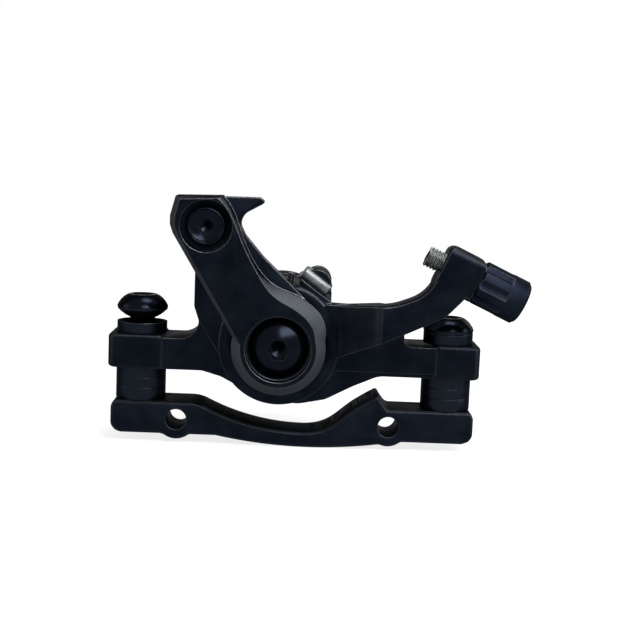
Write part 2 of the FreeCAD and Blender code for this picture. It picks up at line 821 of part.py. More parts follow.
def pad_spring():
    """Leaf over the disc's edge whose two feet spread the pad plates."""
    top = disc_overlap + disc_clearance - 0.1
    foot = lining_r + 0.15
    low = outer_plate_y + plate_thick + 0.06
    high = inner_plate_y - 0.06
    thick = pad_spring_thick
    sheet = [(low, foot, 0), (low, top, 0.5), (high, top, 0.5), (high, foot, 0),
             (high - thick, foot, 0), (high - thick, top - thick, 0.3), (low + thick, top - thick, 0.3),
             (low + thick, foot, 0)]
    origin = hub(-pad_spring_width / 2, 0, 0)
    return extrude(sheet, origin, depth, up, across * pad_spring_width)


def adjuster_foot():
    solid = hub_rod(foot_r, foot_y, foot_y + foot_thick)
    key = key_bar(foot_r, foot_key_height, foot_key_width, foot_y, foot_y + foot_thick)
    solid = solid.fuse(key).removeSplitter()
    return solid.cut(hub_rod(adjuster_shaft_r + shaft_fit, foot_y - 1, foot_y + foot_thick + 1))


def pad_adjuster():
    start = inboard_back + adjuster_gap
    end = start + adjuster_knob_thick
    tip = foot_y + tab_gap
    profile = [(0, tip), (adjuster_shaft_r, tip), (adjuster_shaft_r, start),
               (adjuster_knob_r, start), (adjuster_knob_r, end - adjuster_edge),
               (adjuster_knob_r - adjuster_edge, end), (0, end)]
    solid = revolve_y(profile, pivot_x, pivot_z)
    cuts = []
    for i in range(adjuster_scallops):
        angle = math.radians(360 / adjuster_scallops * i)
        reach = adjuster_knob_r + adjuster_scallop_r * 0.5
        cuts.append(rod_y(adjuster_scallop_r, start - 1, end + 1, pivot_x + reach * math.cos(angle),
                          pivot_z + reach * math.sin(angle)))
    cuts.append(hexagon(adjuster_socket, hub(0, end - adjuster_socket_depth, 0), across, up, depth * 4))
    return solid.cut(cuts)


def adjuster_clip():
    y_low = foot_pocket_back - clip_thick - piston_fit
    ring = hub_rod(clip_r, y_low, y_low + clip_thick).cut(
        hub_rod(adjuster_shaft_r, y_low - 1, y_low + 2))
    half = clip_mouth / 2
    mouth = hub_plate([(-half, -8, 0), (half, -8, 0), (half, 0, 0), (-half, 0, 0)], y_low - 1, y_low + 2)
    return ring.cut(mouth)


# Lever arm

def arm_outline(corners, bend, y):
    """Outline of the arm at one depth: straight sides through the corners, then the right side's S-curve."""
    edges = [Part.LineSegment(hub(a[0], y, a[1]), hub(b[0], y, b[1])).toShape()
             for a, b in zip(corners, corners[1:])]
    curve = Part.BSplineCurve()
    curve.interpolate([hub(x, y, z) for x, z in [corners[-1]] + bend])
    closing = Part.LineSegment(hub(bend[-1][0], y, bend[-1][1]), hub(corners[0][0], y, corners[0][1]))
    return Part.Wire(edges + [curve.toShape(), closing.toShape()])


def actuating_arm():
    shoulder_y = arm_front_y + hub_chamfer
    face = arm_outline(
        [(-7.6, -1.0), (-23.6, 25.6), (-24.3, 27.4), (-24.3, 29.4), (-23.4, 33.4), (-14.6, 33.9)],
        [(-12.2, 31.0), (-9.4, 25.0), (-5.6, 17.8), (-1.3, 12.1), (3.5, 9.3), (7.2, 5.9), (8.3, 1.5)],
        arm_front_y)
    shoulder_corners = [(-8.4, -1.4), (-24.9, 25.6), (-25.6, 27.6),
                        (-25.6, 29.6), (-24.4, 34.2), (-13.8, 34.5)]
    shoulder_bend = [(-11.2, 30.8), (-8.9, 25.0), (-5.6, 18.6), (-1.4, 14.4),
                     (3.6, 12.4), (8.2, 9.6), (10.6, 1.5)]
    behind = arm_outline(shoulder_corners, shoulder_bend, shoulder_y)
    bevel = Part.makeLoft([face, behind], True, True)
    plate = Part.Face(behind).extrude(depth * (arm_rear_y - shoulder_y))
    rim = revolve_y([(0, arm_front_y), (hub_r - hub_chamfer, arm_front_y), (hub_r, shoulder_y),
                     (hub_r, arm_rear_y), (0, arm_rear_y)], pivot_x, pivot_z)
    horn_outline = [
        (-16, 34.2, 0), (-5.4, 34.3, 0.5), (-3.9, 33.3, 0.8), (-8.6, 30.6, 3), (-9.8, 28.4, 2.5),
        (-8.4, 25.6, 3), (-4.0, 20.6, 10), (1.0, 16.0, 8), (6.4, 10.9, 6), (9.5, 6.0, 2),
        (2, 2, 0), (-14, 22, 0)]
    horn = hub_plate(horn_outline, arm_layer_y, arm_rear_y)
    solid = plate.fuse([bevel, rim, horn]).removeSplitter()
    angle = math.radians(arm_angle)
    pinch_x = pivot_x - arm_length * math.sin(angle)
    pinch_z = pivot_z + arm_length * math.cos(angle)
    cuts = [hub_rod(hub_recess_r, arm_front_y - 1, arm_seat_y),
            rod_y(pinch_recess_r, arm_front_y - 1, arm_front_y + pinch_recess, pinch_x, pinch_z),
            rod_y(pinch_r, arm_front_y - 1, arm_rear_y + 1, pinch_x, pinch_z),
            drive_section(arm_front_y, arm_rear_y + 1, drive_fit),
            spring_hook_hole()]
    return solid.cut(cuts)


def pinch_place():
    angle = math.radians(arm_angle)
    return hub(-arm_length * math.sin(angle), 0, arm_length * math.cos(angle))


def cable_pinch_bolt():
    place = pinch_place()
    seat = arm_front_y + pinch_recess
    tip = arm_rear_y + clamp_plate_thick + pinch_tip
    profile = [(0, seat - pinch_head), (pinch_head_r - 1.4, seat - pinch_head),
               (pinch_head_r - 0.3, seat - pinch_head + 0.8), (pinch_head_r, seat - pinch_head + 1.6),
               (pinch_head_r, seat), (pinch_r, seat), (pinch_r, tip - 0.5), (pinch_r - 0.5, tip), (0, tip)]
    solid = revolve_y(profile, place.x, place.z)
    socket = hexagon(pinch_socket, vec(place.x, seat - pinch_head - 1, place.z), across, up,
                     depth * (pinch_socket_depth + 1))
    return solid.cut(socket)


def cable_clamp_plate():
    place = pinch_place()
    half = clamp_plate_size / 2
    corner = clamp_plate_corner
    square = [(-half, -half, corner), (half, -half, corner), (half, half, corner), (-half, half, corner)]
    plate = extrude(square, vec(0, arm_rear_y, 0), across, up, depth * clamp_plate_thick)
    groove = Part.makeCylinder(cable_r, 4 * half, vec(-2 * half, arm_rear_y, pinch_r + cable_r), across)
    plate = plate.cut([groove, rod_y(pinch_r, arm_rear_y - 1, arm_rear_y + 5, 0, 0)])
    plate.rotate(vec(0, 0, 0), depth, clamp_plate_angle)
    plate.translate(vec(place.x, 0, place.z))
    return plate


def pivot_bolt():
    seat = arm_seat_y
    top = seat - pivot_head
    tip = seat + pivot_bolt_length
    profile = [(0, top), (2.9, top + 0.05), (pivot_head_r - 1.6, top + 0.6), (pivot_head_r - 0.5, top + 1.5),
               (pivot_head_r, top + 2.6), (pivot_head_r, seat),
               (pivot_bolt_r, seat), (pivot_bolt_r, tip), (0, tip)]
    solid = revolve_y(profile, pivot_x, pivot_z)
    return solid.cut(hexagon(pivot_socket, hub(0, top - 1, 0), across, up, depth * (pivot_socket_depth + 1)))


# Return spring

def arc_edge(start, tangent, end):
    """Arc from start to end that leaves along the tangent."""
    chord = end - start
    length = chord.Length
    way = FreeCAD.Vector(chord)
    way.normalize()
    lean = tangent.getAngle(way)
    if lean < 1e-4:
        return Part.LineSegment(start, end).toShape()
    half_way = tangent + way
    half_way.normalize()
    middle = start + half_way * (length / 2 / math.cos(lean / 2))
    return Part.Arc(start, middle, end).toShape()


def biarc(start, leave, end, arrive):
    """Two arcs that join two points with the given directions and meet smoothly."""
    gap = end - start
    both = leave + arrive
    lean = 2 * (1 - leave.dot(arrive))
    part = gap.dot(both)
    if lean < 1e-9:
        reach = gap.Length / 2
    else:
        reach = (-part + math.sqrt(part * part + lean * gap.dot(gap))) / lean
    meet = (start + end + (leave - arrive) * reach) * 0.5
    first = arc_edge(start, leave, meet)
    second = arc_edge(end, arrive * -1, meet)
    return [first, second]


def coil_point(turn, phase, y_low):
    """Place and direction on the spring's coil after a number of turns."""
    angle = math.radians(phase) - 2 * math.pi * turn
    y = y_low - spring_pitch * turn
    place = hub(spring_mean_r * math.cos(angle), y, spring_mean_r * math.sin(angle))
    way = vec(spring_mean_r * math.sin(angle),
              -spring_pitch / (2 * math.pi),
              -spring_mean_r * math.cos(angle))
    way.normalize()
    return place, way


def spring_hook_hole():
    place = spring_hook_place()
    return rod_y(wire_r + hook_fit, arm_rear_y - hook_reach - hook_gap, arm_rear_y + 1, place.x, place.z)


def spring_hook_place():
    place, way = coil_point(spring_turns, spring_phase(), spring_start_y)
    return place + vec(way.x, 0, way.z) * hook_bend


def spring_phase():
    """Angle where the coil starts: a bend's width before the fixed leg's groove."""
    return 90 - spring_leg_angle - spring_lead_angle


def least_gap(path, apart):
    """Smallest gap of the wire to itself, measured on points that lie further apart along it."""
    step = 0.5
    points = path.discretize(Distance=step)
    skip = int(apart / step)
    count = len(points)
    least = min((points[i] - points[j]).Length for i in range(count) for j in range(i + skip, count))
    return least - 2 * wire_r


def return_spring():
    y_start = spring_start_y
    phase = spring_phase()
    steps = spring_turns * 4
    leg = math.radians(90 - spring_leg_angle)
    out = vec(math.cos(leg), 0, math.sin(leg))
    leg_top = hub(0, y_start, 0) + out * spring_leg_height
    leg_foot = hub(0, y_start, 0) + out * (spring_mean_r + leg_bend)
    edges = [Part.LineSegment(leg_top, leg_foot).toShape()]
    place, way = coil_point(0, phase, y_start)
    edges += biarc(leg_foot, out * -1, place, way)
    for i in range(steps):
        following, turn = coil_point((i + 1) / 4, phase, y_start)
        edges += biarc(place, way, following, turn)
        place, way = following, turn
    hook = spring_hook_place()
    bend_end = vec(hook.x, place.y - hook_bend, hook.z)
    edges += biarc(place, way, bend_end, depth * -1)
    tip = vec(hook.x, arm_rear_y - hook_reach, hook.z)
    edges.append(Part.LineSegment(bend_end, tip).toShape())
    path = Part.Wire(Part.__sortEdges__(edges))
    section = Part.Wire(Part.Circle(leg_top, out, wire_r).toShape())
    spring = path.makePipeShell([section], True, False)
    print("least gap of the spring's wire to itself", round(least_gap(path, spring_mean_r), 2), "mm")
    return spring


# Tension screw and barrel adjuster

def tension_screw():
    half = tension_length / 2
    shape = Part.makeCylinder(tension_r, tension_length, vec(-half, 0, 0), across)
    ends = [e for e in shape.Edges if e.BoundBox.XLength < 0.01]
    shape = shape.makeChamfer(tension_edge, ends)
    socket = hexagon(tension_socket, vec(half - tension_socket_depth, 0, 0), depth, up, across * 3)
    return tension_place(shape.cut(socket))


def barrel_screw():
    length = stub_out + boss_length + knob_start_gap + knob_length - housing_socket_depth - screw_end_gap
    shape = Part.makeCylinder(screw_r, length, vec(0, 0, 0), across)
    shape = shape.cut(Part.makeCylinder(screw_bore_r, length + 2, vec(-1, 0, 0), across))
    return barrel_place(shape)


def barrel_knob():
    start = stub_out + boss_length + knob_start_gap
    grip = Part.makeCylinder(knob_r, knob_length, vec(start, 0, 0), across)
    ends = [e for e in grip.Edges if e.BoundBox.XLength < 0.01]
    grip = grip.makeChamfer(knob_edge, ends)
    flutes = []
    for i in range(knob_ribs):
        angle = math.radians(360 / knob_ribs * i)
        reach = knob_r + knob_flute_r - knob_flute_sink
        place = vec(start - 1, reach * math.cos(angle), reach * math.sin(angle))
        flutes.append(Part.makeCylinder(knob_flute_r, knob_length - knob_collar + 1, place, across))
    seat = start + knob_length - housing_socket_depth
    socket = Part.makeCylinder(housing_socket_r, housing_socket_depth + 1, vec(seat, 0, 0), across)
    thread = Part.makeCylinder(screw_r + screw_fit, seat - screw_end_gap - start + 1,
                               vec(start - 1, 0, 0), across)
    inner = Part.makeCylinder(screw_bore_r, knob_length + 5, vec(start - 1, 0, 0), across)
    return barrel_place(grip.cut(flutes + [socket, thread, inner]))


os.makedirs("parts", exist_ok=True)
save("adapter_bracket", adapter_bracket())
for side, x, lift in (("left", left_x, bolt_raised), ("right", right_x, 0)):
    save(side + "_spacer", spacer(x))
    save(side + "_lower_ball_washer", lower_ball_washer(x))
    save(side + "_lower_cup_washer", lower_cup_washer(x))
    save(side + "_upper_cup_washer", upper_cup_washer(x))
    save(side + "_upper_ball_washer", upper_ball_washer(x, lift))
    save(side + "_mounting_bolt", mounting_bolt(x, lift))
save("caliper_body", caliper_body())
save("inboard_half", inboard_half())
save("body_bolts", Part.makeCompound([body_bolt(-body_bolt_left), body_bolt(body_bolt_right)]))
save("shaft_bush", shaft_bush())
save("shaft_seal", shaft_seal())
save("thrust_washer", thrust_washer())
save("drive_cam", drive_cam())
save("ramp_balls", ramp_balls())
save("ramp_piston", ramp_piston())
save("outboard_pad_plate", pad_plate(outer_plate_y))
save("outboard_pad_lining", pad_lining(outer_plate_y + plate_thick))
save("inboard_pad_lining", pad_lining(inner_lining_y))
save("inboard_pad_plate", pad_plate(inner_plate_y))
save("pad_spring", pad_spring())
save("adjuster_foot", adjuster_foot())
save("pad_adjuster_knob", pad_adjuster())
save("adjuster_clip", adjuster_clip())
save("actuating_arm", actuating_arm())
save("pivot_bolt", pivot_bolt())
save("cable_pinch_bolt", cable_pinch_bolt())
save("cable_clamp_plate", cable_clamp_plate())
save("return_spring", return_spring())
save("spring_tension_screw", tension_screw())
save("barrel_adjuster_screw", barrel_screw())
save("barrel_adjuster_knob", barrel_knob())
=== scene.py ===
import json
import math
import bpy
from mathutils import Matrix, Vector

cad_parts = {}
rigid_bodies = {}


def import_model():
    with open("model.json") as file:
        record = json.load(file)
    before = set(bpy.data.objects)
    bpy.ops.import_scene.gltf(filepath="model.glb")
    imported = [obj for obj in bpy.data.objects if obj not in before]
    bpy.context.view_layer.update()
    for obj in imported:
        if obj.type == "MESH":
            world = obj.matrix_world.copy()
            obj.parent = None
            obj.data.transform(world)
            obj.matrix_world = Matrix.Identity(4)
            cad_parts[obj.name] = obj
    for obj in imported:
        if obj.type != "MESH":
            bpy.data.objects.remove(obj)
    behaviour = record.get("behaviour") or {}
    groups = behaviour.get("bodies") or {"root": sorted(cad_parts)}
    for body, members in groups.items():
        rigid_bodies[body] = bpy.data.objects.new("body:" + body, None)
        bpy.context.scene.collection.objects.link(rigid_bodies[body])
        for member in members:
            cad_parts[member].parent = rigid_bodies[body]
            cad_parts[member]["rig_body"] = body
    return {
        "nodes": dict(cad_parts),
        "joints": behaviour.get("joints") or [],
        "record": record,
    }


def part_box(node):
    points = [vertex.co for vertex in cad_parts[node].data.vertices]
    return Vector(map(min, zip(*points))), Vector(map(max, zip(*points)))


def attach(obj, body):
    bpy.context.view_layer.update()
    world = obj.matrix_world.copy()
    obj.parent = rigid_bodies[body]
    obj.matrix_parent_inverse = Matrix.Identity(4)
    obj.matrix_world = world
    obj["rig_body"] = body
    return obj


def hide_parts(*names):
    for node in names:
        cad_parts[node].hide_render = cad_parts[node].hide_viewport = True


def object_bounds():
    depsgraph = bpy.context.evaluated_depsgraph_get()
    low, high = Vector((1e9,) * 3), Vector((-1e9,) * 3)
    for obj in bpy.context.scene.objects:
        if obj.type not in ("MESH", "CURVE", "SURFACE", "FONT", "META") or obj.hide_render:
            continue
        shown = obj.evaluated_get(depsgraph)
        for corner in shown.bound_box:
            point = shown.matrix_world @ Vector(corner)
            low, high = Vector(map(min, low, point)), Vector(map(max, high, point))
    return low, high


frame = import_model()
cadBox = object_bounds()
nodes = frame["nodes"]
print("frame loaded:", len(nodes), "nodes")

mm = 0.001

camera = {
    "location": (2.35 * mm, -300 * mm, 64.3 * mm),
    "target": (8.22 * mm, 0, 24.6 * mm),
    "lens": 70.2,
    "sensor": 36,
    "roll": 2.4,  # degrees
    "nearest": 0.01,
    "farthest": 20,
}


def setCamera():
    data = bpy.data.cameras.new("camera")
    data.lens = camera["lens"]
    data.sensor_width = camera["sensor"]
    data.clip_start = camera["nearest"]
    data.clip_end = camera["farthest"]
    eye = bpy.data.objects.new("camera", data)
    bpy.context.scene.collection.objects.link(eye)
    place = Vector(camera["location"])
    look = (Vector(camera["target"]) - place).to_track_quat("-Z", "Y").to_matrix().to_4x4()
    roll = Matrix.Rotation(math.radians(camera["roll"]), 4, "Z")
    eye.matrix_world = Matrix.Translation(place) @ look @ roll
    bpy.context.scene.camera = eye


setCamera()

bevelSamples = 6
lookingUp = (-0.1, 0.6)  # a normal's height, from where the painted edge highlight is dull to where it is bright
notFront = (0.93, 0.80)  # how far a slanted face may look forwards
notSide = (0.24, 0.38)  # and how far sideways


# A socket with the usual operators, each of which adds its Math node
class Wire:
    def __init__(self, paint, socket):
        self.paint = paint
        self.socket = socket

    def math(self, operation, other, flip=False):
        first, second = (other, self) if flip else (self, other)
        return self.paint.node("ShaderNodeMath", {"operation": operation}, {0: first, 1: second})

    def __add__(self, other):
        return self.math("ADD", other)

    def __radd__(self, other):
        return self.math("ADD", other, True)

    def __sub__(self, other):
        return self.math("SUBTRACT", other)

    def __rsub__(self, other):
        return self.math("SUBTRACT", other, True)

    def __mul__(self, other):
        return self.math("MULTIPLY", other)

    def __rmul__(self, other):
        return self.math("MULTIPLY", other, True)


class Paint:
    def __init__(self, name):
        self.material = bpy.data.materials.new(name)
        self.material.use_nodes = True
        self.tree = self.material.node_tree
        self.tree.nodes.clear()
        self.output = self.tree.nodes.new("ShaderNodeOutputMaterial")
        self.place = self.node("ShaderNodeTexCoord", {}, {}, "Object")

    # Any node: its settings are set first, then the values or links of its sockets
    def node(self, kind, settings, inputs, result=0):
        made = self.tree.nodes.new(kind)
        for key, value in settings.items():
            setattr(made, key, value)
        for key, value in inputs.items():
            if isinstance(value, Wire):
                self.tree.links.new(value.socket, made.inputs[key])
            else:
                made.inputs[key].default_value = value
        return Wire(self, made.outputs[result])

    def noise(self, scale, detail=3, rough=0.55):
        inputs = {"Vector": self.place, "Scale": scale, "Detail": detail, "Roughness": rough}
        return self.node("ShaderNodeTexNoise", {}, inputs, "Fac")

    def ramp(self, value, low, high):
        inputs = {"Value": value, "From Min": low, "From Max": high}
        return self.node("ShaderNodeMapRange", {"clamp": True}, inputs)

    def blend(self, factor, first, second):
        return self.node("ShaderNodeMix", {"data_type": "RGBA"}, {0: factor, 6: first, 7: second}, 2)

    # How much painted edge highlight lies here: the angle between the true normal and one rounded over a small
    # radius, weighted brighter where the rounded edge looks up, as if lit from above. Below is the share that
    # is left where the rounded edge looks down
    def edges(self, radius, contrast, below=1.0):
        soft = self.node("ShaderNodeBevel", {"samples": bevelSamples}, {"Radius": radius})
        true = self.node("ShaderNodeNewGeometry", {}, {}, "Normal")
        same = self.node("ShaderNodeVectorMath", {"operation": "DOT_PRODUCT"}, {0: soft, 1: true}, "Value")
        upward = self.ramp(self.node("ShaderNodeSeparateXYZ", {}, {"Vector": soft}, "Z"), *lookingUp)
        return self.ramp(1 - same, 0.0, contrast) * (below + upward * (1 - below))

    # Where the surface leans between facing forwards and facing sideways
    def slanted(self):
        facing = self.node("ShaderNodeNewGeometry", {}, {}, "Normal")
        parts = self.node("ShaderNodeSeparateXYZ", {}, {"Vector": facing}, "Y")
        front = self.node("ShaderNodeMath", {"operation": "ABSOLUTE"}, {0: parts})
        return self.ramp(front, *notFront) * self.ramp(front, *notSide)

    def bump(self, height, strength, distance, rounding=0):
        inputs = {"Height": height, "Strength": strength, "Distance": distance}
        if rounding:
            inputs["Normal"] = self.node("ShaderNodeBevel", {"samples": bevelSamples}, {"Radius": rounding})
        return self.node("ShaderNodeBump", {}, inputs)

    def finish(self, **values):
        shader = self.tree.nodes.new("ShaderNodeBsdfPrincipled")
        for key, value in values.items():
            name = key.replace("_", " ")
            if isinstance(value, Wire):
                self.tree.links.new(value.socket, shader.inputs[name])
            else:
                shader.inputs[name].default_value = value
        self.tree.links.new(shader.outputs[0], self.output.inputs["Surface"])
        return self.material


anodised = {
    "black": (0.0030, 0.0044, 0.0074, 1),
    "blue": (0.0062, 0.0084, 0.0124, 1),
    # painted highlight colour for the wide slanted bevels
    "slanted": (0.034, 0.037, 0.042, 1),
    "wornAndHighlitEdge": (0.26, 0.27, 0.285, 1),
    "rim": (0.10, 0.11, 0.13, 1),
    "metallic": 0.92,
    "specular": 0.1,
    "grain": 9000,
    "grainStrength": 0.12,
    "grainDepth": 0.05 * mm,
    "cloud": 160,
    "cloudRange": (0.35, 0.7),
    "scuff": 1400,
    "scuffRange": (0.42, 0.68),
    "uneven": 0.10,
    "bevelDull": 0.25,
    "rounding": 0.3 * mm,
    "edge": 0.48 * mm,
    "edgeContrast": 0.22,
    "edgeBelow": 0.35,
}


def blackAnodised(name, roughness, wornAndHighlitEdge, bevelHighlight=0.0, lift=1.0):
    paint = Paint(name)
    grain = paint.noise(anodised["grain"], 2)
    cloud = paint.noise(anodised["cloud"], 4)
    edge = paint.edges(anodised["edge"], anodised["edgeContrast"], anodised["edgeBelow"])
    scuff = paint.ramp(paint.noise(anodised["scuff"], 5, 0.7), *anodised["scuffRange"])
    dark = [channel * lift for channel in anodised["black"][:3]] + [1]
    light = [channel * lift for channel in anodised["blue"][:3]] + [1]
    body = paint.blend(paint.ramp(cloud, *anodised["cloudRange"]), dark, light)
    rough = roughness + (cloud - 0.5) * anodised["uneven"] + (grain - 0.5) * anodised["uneven"]
    if bevelHighlight:  # painted highlight: the wide bevels are painted lighter than the faces, and made rougher
        bevelHighlightShare = paint.slanted() * (0.6 + cloud * 0.8) * bevelHighlight
        body = paint.blend(bevelHighlightShare, body, anodised["slanted"])
        rough = rough + bevelHighlightShare * anodised["bevelDull"]
    # Edges painted lighter: partly scuffed wear, partly a painted highlight that is strongest where the edge
    # looks up
    colour = paint.blend(edge * (0.4 + scuff * 0.6) * wornAndHighlitEdge, body, anodised["wornAndHighlitEdge"])
    bump = paint.bump(grain, anodised["grainStrength"], anodised["grainDepth"], anodised["rounding"])
    return paint.finish(Base_Color=colour, Metallic=anodised["metallic"], Roughness=rough,
                        Specular_IOR_Level=anodised["specular"], Specular_Tint=anodised["rim"], Normal=bump)


blackened = {
    "wornAndHighlitEdge": (0.13, 0.13, 0.135, 1),
    "edgeWearAndHighlight": 0.6,
    "grain": 5200,
    "grainStrength": 0.1,
    "grainDepth": 0.03 * mm,
    "rub": 2400,
    "rubRange": (0.4, 0.62),
    "uneven": 0.12,
    "rounding": 0.12 * mm,
    "edge": 0.2 * mm,
    "edgeContrast": 0.3,
    "edgeBelow": 0.3,
}


def blackSteel(name, roughness, colour):
    paint = Paint(name)
    grain = paint.noise(blackened["grain"], 3)
    edge = paint.edges(blackened["edge"], blackened["edgeContrast"], blackened["edgeBelow"])
    rub = paint.ramp(paint.noise(blackened["rub"], 4, 0.7), *blackened["rubRange"])
    # Edges painted lighter: partly rubbed wear, partly a painted highlight that is strongest where the edge
    # looks up
    tone = paint.blend(edge * (0.3 + rub * 0.7) * blackened["edgeWearAndHighlight"], colour, blackened["wornAndHighlitEdge"])
    bump = paint.bump(grain, blackened["grainStrength"], blackened["grainDepth"], blackened["rounding"])
    return paint.finish(Base_Color=tone, Metallic=anodised["metallic"],
                        Roughness=roughness + (grain - 0.5) * blackened["uneven"],
                        Specular_IOR_Level=anodised["specular"], Specular_Tint=anodised["rim"], Normal=bump)


bare = {
    "lit": (0.6, 0.6, 0.59, 1),
    "edgeWearAndHighlight": 0.5,
    "metallic": 0.9,
    "speckRange": (0.30, 0.70),
    "finer": 3.3,
    "grainStrength": 0.12,
    "grainDepth": 0.03 * mm,
    "uneven": 0.2,
    "rounding": 0.08 * mm,
    "edge": 0.1 * mm,
    "edgeContrast": 0.4,
}


def brightSteel(name, colour, dark, roughness, scale):
    paint = Paint(name)
    speck = paint.noise(scale, 4, 0.65)
    fine = paint.noise(scale * bare["finer"], 2)
    edge = paint.edges(bare["edge"], bare["edgeContrast"])
    tone = paint.blend(paint.ramp(speck, *bare["speckRange"]), dark, colour)
    # Edges painted lighter: partly wear, partly a painted highlight
    lit = paint.blend(edge * bare["edgeWearAndHighlight"], tone, bare["lit"])
    bump = paint.bump(fine, bare["grainStrength"], bare["grainDepth"], bare["rounding"])
    return paint.finish(Base_Color=lit, Metallic=bare["metallic"],
                        Roughness=roughness + (speck - 0.5) * bare["uneven"], Normal=bump)


lining = {
    "binder": (0.055, 0.046, 0.038, 1),
    "copper": (0.32, 0.22, 0.12, 1),
    "grit": 2600,
    "gritStrength": 0.5,
    "gritDepth": 0.12 * mm,
    "flake": 1500,
    "flakeRange": (0.62, 0.7),
    "metallic": 0.1,
    "roughness": 0.8,
    "uneven": 0.2,
}


def frictionLining():
    paint = Paint("frictionLining")
    grit = paint.noise(lining["grit"], 3)
    flake = paint.ramp(paint.noise(lining["flake"], 2), *lining["flakeRange"])
    return paint.finish(Base_Color=paint.blend(flake, lining["binder"], lining["copper"]),
                        Metallic=lining["metallic"],
                        Roughness=lining["roughness"] + (grit - 0.5) * lining["uneven"],
                        Normal=paint.bump(grit, lining["gritStrength"], lining["gritDepth"]))


rubber = {
    "dark": (0.012, 0.012, 0.012, 1),
    "light": (0.03, 0.03, 0.03, 1),
    "grain": 6000,
    "grainStrength": 0.2,
    "grainDepth": 0.03 * mm,
    "roughness": 0.62,
    "uneven": 0.2,
}


def sealRubber():
    paint = Paint("sealRubber")
    grain = paint.noise(rubber["grain"], 3)
    return paint.finish(Base_Color=paint.blend(grain, rubber["dark"], rubber["light"]),
                        Roughness=rubber["roughness"] + (grain - 0.5) * rubber["uneven"],
                        Normal=paint.bump(grain, rubber["grainStrength"], rubber["grainDepth"]))


finishes = {
    "black_body": blackAnodised("bodyAnodised", 0.40, 0.6, 0.35),
    "black_bracket": blackAnodised("bracketAnodised", 0.46, 0.35, 0.3, 1.25),
    "black_lever": blackAnodised("leverAnodised", 0.34, 0.75, 1.0),
    "knob_black": blackAnodised("knobAnodised", 0.55, 0.5, 0.0, 1.5),
    "black_steel": blackSteel("boltSteel", 0.20, (0.0048, 0.0062, 0.0090, 1)),
    "black_washer": blackSteel("washerSteel", 0.34, (0.0085, 0.0110, 0.0160, 1)),
    "zinc_steel": brightSteel("zincSteel", (0.115, 0.122, 0.122, 1), (0.050, 0.056, 0.054, 1), 0.38, 900),
    "bronze": brightSteel("sinteredBronze", (0.45, 0.30, 0.14, 1), (0.22, 0.14, 0.07, 1), 0.4, 3000),
    "hard_steel": brightSteel("hardSteel", (0.40, 0.40, 0.40, 1), (0.28, 0.28, 0.28, 1), 0.32, 900),
    "polished_steel": brightSteel("polishedSteel", (0.6, 0.6, 0.62, 1), (0.5, 0.5, 0.52, 1), 0.12, 900),
    "spring_steel": brightSteel("springSteel", (0.045, 0.046, 0.05, 1), (0.02, 0.02, 0.022, 1), 0.3, 2400),
    "pad_steel": brightSteel("padSteel", (0.08, 0.08, 0.08, 1), (0.04, 0.04, 0.04, 1), 0.5, 1600),
    "pad_lining": frictionLining(),
    "seal_rubber": sealRubber(),
}
print("materials made:", len(finishes))

slotOf = {part["node"]: part["material_slot"] for part in frame["record"]["subparts"]}

mergeDistance = 0.000002
flatAngle = math.radians(0.6)
smoothAngle = math.radians(24)


def deselect():
    for other in bpy.context.selected_objects:
        other.select_set(False)


def activate(piece):
    deselect()
    piece.select_set(True)
    bpy.context.view_layer.objects.active = piece


def paintWith(piece, slotName):
    piece.data.materials.clear()
    piece.data.materials.append(finishes[slotName])


def riding(piece, node):
    paintWith(piece, slotOf[node])
    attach(piece, nodes[node]["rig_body"])
    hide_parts(node)


def rounded(piece, width, angle=32):
    activate(piece)
    bevel = piece.modifiers.new("edges", "BEVEL")
    bevel.width = width
    bevel.segments = 2
    bevel.limit_method = "ANGLE"
    bevel.angle_limit = math.radians(angle)
    bevel.miter_outer = "MITER_ARC"
    bpy.ops.object.modifier_apply(modifier="edges")


def carve(piece, cutter):
    activate(piece)
    cut = piece.modifiers.new("cut", "BOOLEAN")
    cut.operation = "DIFFERENCE"
    cut.solver = "EXACT"
    cut.object = cutter
    bpy.ops.object.modifier_apply(modifier="cut")
    activate(cutter)
    bpy.ops.object.delete()


cornerBands = 6
shortestCorner = 1.5  # mm from front to back


# Rounds the edges that run from front to back at these places, each (x, z) with its width and how near
def soften(piece, corners):
    activate(piece)
    for x, z, width, near in corners:
        bpy.ops.object.mode_set(mode="EDIT")
        bpy.ops.mesh.select_mode(type="EDGE")
        bpy.ops.mesh.select_all(action="DESELECT")
        bpy.ops.object.mode_set(mode="OBJECT")
        corner = Vector((x, 0, z)) * mm
        points = piece.data.vertices
        found = 0
        for edge in piece.data.edges:
            first, second = (points[i].co for i in edge.vertices)
            gaps = [math.hypot(end.x - corner.x, end.z - corner.z) for end in (first, second)]
            edge.select = max(gaps) < near * mm and abs(first.y - second.y) > shortestCorner * mm
            found += edge.select
        bpy.ops.object.mode_set(mode="EDIT")
        bpy.ops.mesh.bevel(offset=width * mm, segments=cornerBands, affect="EDGES", clamp_overlap=True)
        bpy.ops.object.mode_set(mode="OBJECT")
        print("corner rounded:", x, z, found, "edges")


# A smooth, slightly rounded copy of a node: the loose triangles are merged first
def smoothCopy(node, width, cutters=(), corners=()):
    piece = bpy.data.objects.new(node + "_dressed", nodes[node].data.copy())
    bpy.context.scene.collection.objects.link(piece)
    activate(piece)
    bpy.ops.object.mode_set(mode="EDIT")
    bpy.ops.mesh.select_all(action="SELECT")
    bpy.ops.mesh.remove_doubles(threshold=mergeDistance)
    bpy.ops.mesh.customdata_custom_splitnormals_clear()
    bpy.ops.mesh.dissolve_limited(angle_limit=flatAngle)
    bpy.ops.object.mode_set(mode="OBJECT")
    for cutter in cutters:
        carve(piece, cutter)
    soften(piece, corners)
    rounded(piece, width)
    bpy.ops.object.shade_smooth_by_angle(angle=smoothAngle)
    riding(piece, node)


